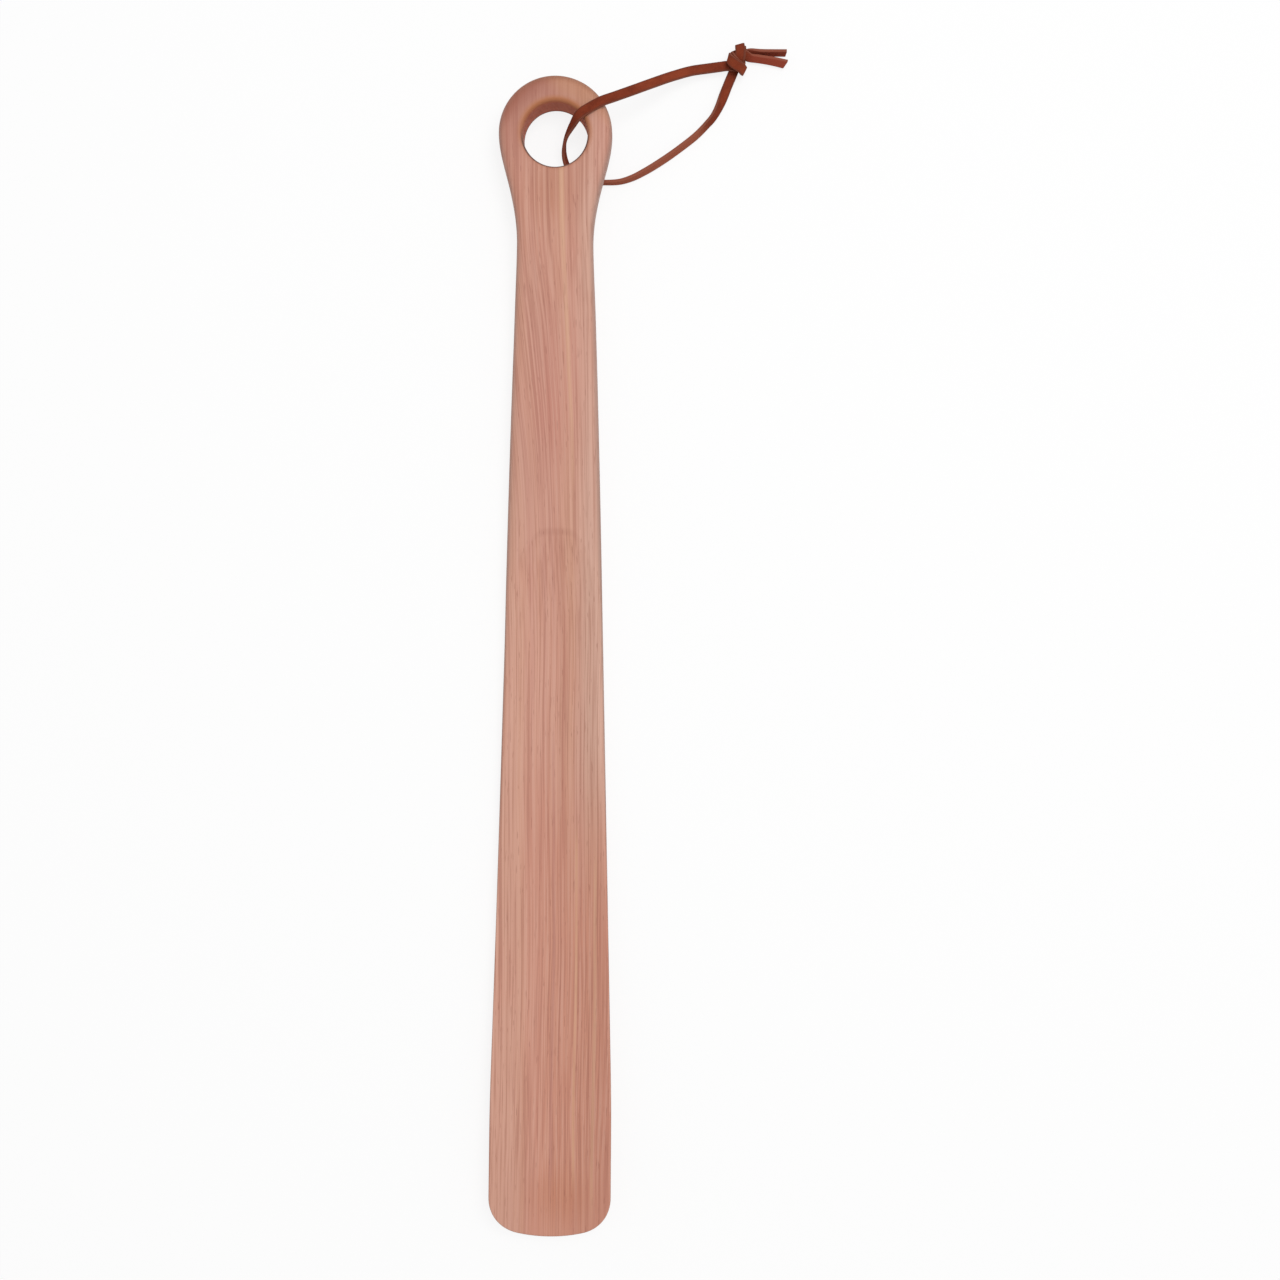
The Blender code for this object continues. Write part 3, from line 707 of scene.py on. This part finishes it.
def woodPatches():
    # the rounded edges all round, the faces inside them, and the wall of the hole
    marks = rightOutline()[2]
    columns, top = wood["columns"], marks["top"]
    tipAt = np.linspace(-marks["corner"], marks["corner"], columns + 1)
    sideLength = marks["neck"] - marks["corner"]
    even = np.linspace(0, 1, int(sideLength / wood["rowStep"]) + 1)
    sideAt = marks["corner"] + sideLength * even
    headLength = 2 * (top - marks["neck"])
    headSteps = int(headLength / wood["headStep"])
    headAt = np.linspace(marks["neck"], marks["neck"] + headLength, headSteps + 1)
    bands = {}
    for name, where in (("tip", tipAt), ("side", sideAt), ("head", headAt)):
        bands[name] = edgeBand(*outlineAt(where))
    leftSide = bands["side"] * [-1, 1, 1]
    patches = []
    for band in (bands["tip"], bands["side"], bands["head"], leftSide):
        patches.append((band, gridFaces(*band.shape[:2])))

    # blade and handle: a four-sided patch between the tip's edge, the sides and the neck
    right, tip = bands["side"][:, 0, :2], bands["tip"][:, 0, :2]
    across = np.linspace(0, 1, columns + 1)[None, :]
    up = np.linspace(0, 1, len(right))[:, None]
    hold = (1 - up) ** 4          # how far up the tip's curve is felt
    straight = tip[0] + (tip[-1] - tip[0]) * across[0][:, None]
    x = right[:, :1] * (2 * across - 1) + hold * (tip[:, 0] - straight[:, 0])[None, :]
    y = right[:, 1:] + hold * (tip[:, 1] - straight[:, 1])[None, :]
    patches += bothFaces(x, y)

    # the ring of the head: straight lines from the hole's rim out to the edge and the neck
    holeY = wood["length"] / 2 - wood["holeFromHead"]
    neckLine = np.stack([x[-1], y[-1]], 1)
    outer = np.concatenate([neckLine, bands["head"][1:-1, 0, :2]])
    angle = np.arctan2(outer[:, 1] - holeY, outer[:, 0])
    ray = np.stack([np.cos(angle), np.sin(angle)], 1)
    share = np.linspace(0, 1, wood["ringSteps"] + 1)[:, None, None]
    for side, name in enumerate(("frontRim", "backRim")):
        rim = ray * (wood["holeRadius"] + wood[name]) + [0, holeY]
        ring = rim[None] + (outer - rim)[None] * share
        ring = np.concatenate([ring, ring[:, :1]], axis=1)
        patches.append(bothFaces(ring[..., 0], ring[..., 1])[side])

    # the bore: a quarter circle in from the front, straight down, and out to the back
    turn = np.linspace(0, math.pi / 2, wood["edgeSteps"] + 1)
    frontZ = frontHeight(0.0, holeY) - wood["frontRim"] * (1 - np.cos(turn))
    backZ = backHeight(0.0, holeY) + wood["backRim"] * (1 - np.cos(turn))
    straightZ = np.linspace(frontZ[-1], backZ[-1], wood["boreSteps"] + 2)[1:-1]
    frontOut = wood["holeRadius"] + wood["frontRim"] * (1 - np.sin(turn))
    backOut = wood["holeRadius"] + wood["backRim"] * (1 - np.sin(turn))
    straightOut = np.full(wood["boreSteps"], wood["holeRadius"])
    outs = np.concatenate([frontOut, straightOut, backOut[::-1]])
    heights = np.concatenate([frontZ, straightZ, backZ[::-1]])
    rayLoop = np.concatenate([ray, ray[:1]])
    bore = np.empty((len(outs), len(rayLoop), 3))
    bore[..., :2] = outs[:, None, None] * rayLoop[None] + [0, holeY]
    bore[..., 2] = heights[:, None]
    patches.append((bore, gridFaces(*bore.shape[:2])))
    return patches


# Colours as for the suede, and lengths in mm. The grain is counted across the wood from its
# middle line.
cedar = {
    "heart": (207, 150, 130),
    "tan": (213, 163, 134, 0.42),
    "mauve": (200, 147, 134, 0.42),
    "grip": (182, 126, 110, 0.2),
    "redBlotch": (203, 134, 113, 0.22),
    "ringLine": (152, 94, 78, 0.27),
    "ringSpacing": 2.5,
    "fibreDark": (170, 112, 95, 0.5),
    "fibreLight": (220, 171, 151, 0.44),
    "threadDark": (152, 94, 78, 0.12),
    "threadLight": (220, 171, 151, 0.1),
    "dash": (146, 88, 72, 0.4),
    "archPaintedShade": (152, 94, 78, 0.17),
    "headShade": (167, 106, 90, 0.5),
    "headCornerShade": (156, 92, 74, 0.65),
    "golden": (200, 146, 104, 0.35),
    "endGrain": (150, 92, 64, 0.7),
    # painted shade on the long edges
    "edge": (158, 126, 115, 0.5),
    "holeRim": (180, 115, 78, 1.0),
    # painted warm bounce light on the hole's wall
    "holeWallBounce": (214, 120, 93, 0.55),
    # painted shade: dark lines round the hole's lower edges
    "frontRimShade": (112, 78, 68, 1.0),
    "backRimShade": (112, 78, 68, 0.7),
    "gloss": 0.3,
    "roughness": (0.48, 0.6),
    "wallRougher": 0.33,
    "grainDepth": 0.00005,        # in m
    # the lean of the grain up the handle: where along it, and how far left it is carried
    "leanFrom": 40.0,
    "leanTo": 186.0,
    "leanLeft": 11.0,
    "leanRight": 1.5,
    # drifts of colour: from and to across, from and to along, colour
    "driftsAndPaintedLight": [
        # painted light: pales the right side, whose rounded and hollowed edge renders in shade
        ((6.5, 14), (-100, -25), (215, 174, 155, 0.78)),
        ((-8, -17), (110, 50), (211, 161, 141, 0.6)),
        ((-16, -3), (-30, -120), (205, 141, 119, 0.75)),
    ],
    # soft patches: middle across and along, half width and half length, colour
    "patches": [
        (4.2, -208, 17, 17, (196, 127, 97, 0.52)),
        (-1.0, 181, 15, 27, (182, 119, 90, 0.55)),
        (1.5, 106, 17, 52, (186, 115, 101, 0.42)),
        (-1.5, -68, 16, 45, (190, 118, 98, 0.3)),
    ],
    # streaks along the grain: place, half width, from and to along the wood, colour
    "streaks": [
        (9.9, 0.8, -212, -60, (221, 172, 138, 0.55)),
        (9.4, 0.9, 60, 225, (219, 172, 140, 0.6)),
        (17.6, 0.9, -222, -70, (216, 172, 140, 0.45)),
        (19.9, 0.7, -222, -70, (170, 100, 82, 0.1)),
        (0.9, 0.9, -215, -20, (184, 128, 118, 0.35)),
        (-6.5, 1.6, -215, 40, (214, 160, 140, 0.3)),
        (4.6, 1.0, -90, 60, (176, 112, 96, 0.3)),
    ],
}


def cedarFinish():
    finish = Finish("cedarOiled")
    place = finish.node("ShaderNodeTexCoord", output="Object")
    inMm = finish.node("ShaderNodeVectorMath", {"operation": "SCALE"}, {0: place, "Scale": 1 / mm})
    x, y, z = finish.split(inMm)
    facing = finish.split(finish.node("ShaderNodeTexCoord", output="Normal"))
    up = y - (wood["length"] / 2 - wood["holeFromHead"])    # from the middle of the hole
    rim = (x * x + up * up) ** 0.5

    # the grain runs along y, and leans over to the left up the handle
    lean = finish.ramp(y, cedar["leanFrom"], cedar["leanTo"])
    lean = lean * finish.ramp(x, -20, 18, cedar["leanLeft"], cedar["leanRight"])
    wander = finish.noise(finish.vector(x * 0.03, y * 0.012, z * 0.01), detail=1) - 0.5
    grain = x + z * 0.12 + lean + wander * 2.0

    # broad soft bands, and drifts of colour from the handle down the blade, the first painted
    # light
    bandA = finish.noise(finish.vector(grain * 0.2, y * 0.003, z * 0.02), detail=3)
    bandB = finish.noise(finish.vector(grain * 0.33 + 40, y * 0.005, z * 0.02), detail=3)
    base = finish.lay(colour(*cedar["heart"]), finish.ramp(bandA, 0.4, 0.66), cedar["tan"])
    base = finish.lay(base, finish.ramp(bandB, 0.46, 0.7), cedar["mauve"])
    belowHead = finish.ramp(y, 196, 172, 0.25, 1)
    for acrossLimits, alongLimits, paint in cedar["driftsAndPaintedLight"]:
        drift = finish.ramp(x, *acrossLimits) * finish.ramp(y, *alongLimits) * belowHead
        base = finish.lay(base, drift, paint)
    # darker up the handle, and more so towards the head
    grip = finish.ramp(y, 20, 90) + finish.ramp(y, 163, 190, 0, 1.25)
    base = finish.lay(base, grip, cedar["grip"])
    blotch = finish.noise(finish.vector(x * 0.045, y * 0.02 + 3, z * 0.02), detail=2)
    base = finish.lay(base, finish.ramp(blotch, 0.5, 0.72), cedar["redBlotch"])
    for middleX, middleY, halfX, halfY, paint in cedar["patches"]:
        across, along = (x - middleX) * (1 / halfX), (y - middleY) * (1 / halfY)
        way = (across * across + along * along) ** 0.5
        base = finish.lay(base, finish.ramp(way, 1.0, 0.06), paint)

    # growth rings: a thin dark line at the end of each ring, unlike its neighbours
    spread = finish.noise(finish.vector(grain * 0.15, 5.0, z * 0.02), detail=2)
    ring = grain * (1 / cedar["ringSpacing"]) + spread * 3.0
    number = ring.maths("FLOOR")
    phase = ring - number
    late = finish.ramp(phase, 0.72, 0.9) * (1 - finish.ramp(phase, 0.93, 0.99))
    chance = finish.node("ShaderNodeTexWhiteNoise", {"noise_dimensions": "1D"}, {"W": number})
    broken = finish.noise(finish.vector(grain * 0.5, y * 0.02, z * 0.05), detail=3)
    line = late * finish.ramp(chance, 0.1, 1.0, 0.2, 1.0) * finish.ramp(broken, 0.3, 0.6, 0.35, 1)
    base = finish.lay(base, line, cedar["ringLine"])

    # fine fibres, fainter on the handle and at the tip, long thin threads, and short dashes
    fibre = finish.noise(finish.vector(grain * 1.8, y * 0.013, z * 0.3), detail=2, roughness=0.6)
    thread = finish.noise(finish.vector(grain * 1.0 + 9, y * 0.007, z * 0.15), detail=1)
    fleck = finish.noise(finish.vector(grain * 2.2, y * 0.15, z * 0.8), detail=1)
    clear = finish.ramp(y, 60, -20, 0.78, 1) * finish.ramp(y, -222, -185, 0.45, 1)
    base = finish.lay(base, finish.ramp(fibre, 0.5, 0.62) * clear, cedar["fibreDark"])
    base = finish.lay(base, finish.ramp(fibre, 0.5, 0.38) * clear, cedar["fibreLight"])
    base = finish.lay(base, finish.ramp(thread, 0.62, 0.68), cedar["threadDark"])
    base = finish.lay(base, finish.ramp(thread, 0.4, 0.33), cedar["threadLight"])
    base = finish.lay(base, finish.ramp(fleck, 0.66, 0.74), cedar["dash"])
    patchy = finish.ramp(broken, 0.3, 0.55, 0.5, 1.0)
    for middle, half, low, high, paint in cedar["streaks"]:
        across = finish.ramp(abs(grain - middle), half, half * 0.3)
        run = finish.ramp(y, low, low + 20) * finish.ramp(y, high, high - 20)
        base = finish.lay(base, across * run * patchy, paint)

    # painted shade: a faint dark line in a broad arch where the hollow begins and the flat face
    # ends
    aside = abs(x - 1.0)
    archTop = wood["length"] / 2 - wood["scoopFromHead"] - 0.7
    archShade = finish.ramp(abs(y - archTop + (aside * 0.1) ** 4 * 5), 2.2, 0.2)
    archShade = archShade * finish.ramp(aside, 12, 5) * finish.ramp(facing[2], 0.2, 0.6)
    base = finish.lay(base, archShade, cedar["archPaintedShade"])

    # painted shade darkens the head to its upper left, most at its outer edge there; it is golden
    # to its upper right
    shade = finish.ramp(up * 0.84 - x * 0.55, -10, 17) * finish.ramp(y, 176, 192)
    base = finish.lay(base, shade, cedar["headShade"])
    base = finish.lay(base, finish.ramp(up * 0.75 - x * 0.66, 13, 20), cedar["headCornerShade"])
    golden = finish.ramp(x * 0.5 + up * 0.87, 11, 18) * finish.ramp(x, -9, 5)
    base = finish.lay(base, golden, cedar["golden"])

    # what faces the top is end grain; painted shade makes long edges a little darker and greyer
    outside = finish.ramp(rim, 15, 16)
    base = finish.lay(base, finish.ramp(facing[1], 0.1, 0.9) * outside, cedar["endGrain"])
    edge = finish.ramp(abs(facing[0]), 0.55, 0.98) + finish.ramp(facing[1], -0.5, -0.95)
    base = finish.lay(base, edge * outside, cedar["edge"])

    # the hole: a golden rim, and an orange-brown wall in painted warm bounce light
    upper = finish.ramp(up, -14, 12, 0.1, 1.0) * finish.ramp(z, 14.6, 16.2)
    base = finish.lay(base, finish.ramp(rim, 15.4, 13.2) * upper, cedar["holeRim"])
    wall = finish.ramp(z, 17.3, 15.6) * (1 - outside) * finish.ramp(up, -5, 6, 0.35, 1)
    base = finish.lay(base, wall, cedar["holeWallBounce"])
    # painted shade: a dark line round the hole's lower edges, in front and at the back
    front = finish.ramp(rim, 13.5, 12.9) * finish.ramp(z, 15.4, 16) * finish.ramp(up, 4, -5)
    back = finish.ramp(rim, 14, 13.5) * finish.ramp(z, 6.8, 5.8)
    base = finish.lay(base, front, cedar["frontRimShade"])
    base = finish.lay(base, back, cedar["backRimShade"])
    relief = fibre * 0.6 - line * 0.4 - fleck * 0.3
    rough = finish.ramp(fibre, 0.2, 0.8, *cedar["roughness"]) + wall * cedar["wallRougher"]
    return finish.surface(
        Base_Color=base,
        Roughness=rough,
        Specular_IOR_Level=cedar["gloss"],
        Normal=finish.bump(relief, cedar["grainDepth"], 0.5),
    )


def makeWood():
    horn = makePiece("hornWood", woodPatches(), cedarFinish(), smoothAngle=80)
    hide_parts("horn_body")
    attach(horn, "horn")
    print("wood made with", len(horn.data.polygons), "faces")


makeWood()


studio = {
    "floorSize": 3.0,
    "floorColour": (235, 235, 235),
    "floorRoughness": 0.9,
    "floorGlow": 0.8,             # how far the camera sees plain white instead of the floor
    "whiteFrom": (0.4, 1.2),      # the floor fades to plain white between these distances, in m
    "skyStrength": 0.48,
    "softBox": (0.3, 0.3, 1.3),
    "softBoxSize": 0.7,
    "softBoxPower": 9.2,
}


def makeStudio():
    scene = bpy.context.scene
    scene.view_settings.view_transform = "Standard"
    sky = Finish("studioSky", sky=True)
    level = sky.seen() * (1 - studio["skyStrength"]) + studio["skyStrength"]
    scene.world = sky.surface(Color=(1, 1, 1, 1), Strength=level)

    # the camera sees the floor mostly as plain white, which keeps a faint shadow
    finish = Finish("paleFloor")
    pale = colour(*studio["floorColour"])
    finish.surface(Base_Color=pale, Roughness=studio["floorRoughness"])
    white = (1.0 - (1 - studio["floorGlow"]) * pale[0]) / studio["floorGlow"]
    place = finish.node("ShaderNodeTexCoord", output="Object")
    reach = finish.node("ShaderNodeVectorMath", {"operation": "LENGTH"}, [place], output="Value")
    share = finish.seen() * finish.ramp(reach, *studio["whiteFrom"], studio["floorGlow"], 1.0)
    glow = finish.node("ShaderNodeEmission", None, {"Strength": white})
    plain = Wire(finish, finish.shader.outputs["BSDF"])
    blend = finish.node("ShaderNodeMixShader", None, [share, plain, glow])
    finish.feed(finish.tree.nodes["Material Output"].inputs["Surface"], blend)
    half = studio["floorSize"] / 2
    corners = [(-half, -half, 0), (half, -half, 0), (half, half, 0), (-half, half, 0)]
    data = bpy.data.meshes.new("floor")
    data.from_pydata(corners, [], [(0, 1, 2, 3)])
    data.materials.append(finish.material)
    floor = bpy.data.objects.new("floor", data)
    scene.collection.objects.link(floor)

    data = bpy.data.lights.new("softBox", "AREA")
    data.size = studio["softBoxSize"]
    data.energy = studio["softBoxPower"]
    box = bpy.data.objects.new("softBox", data)
    box.location = studio["softBox"]
    towards = -np.array(studio["softBox"])
    box.rotation_euler = (
        math.atan2(math.hypot(towards[0], towards[1]), -towards[2]),
        0,
        math.atan2(towards[1], towards[0]) - math.pi / 2,
    )
    scene.collection.objects.link(box)
    print("studio lit")


makeStudio()
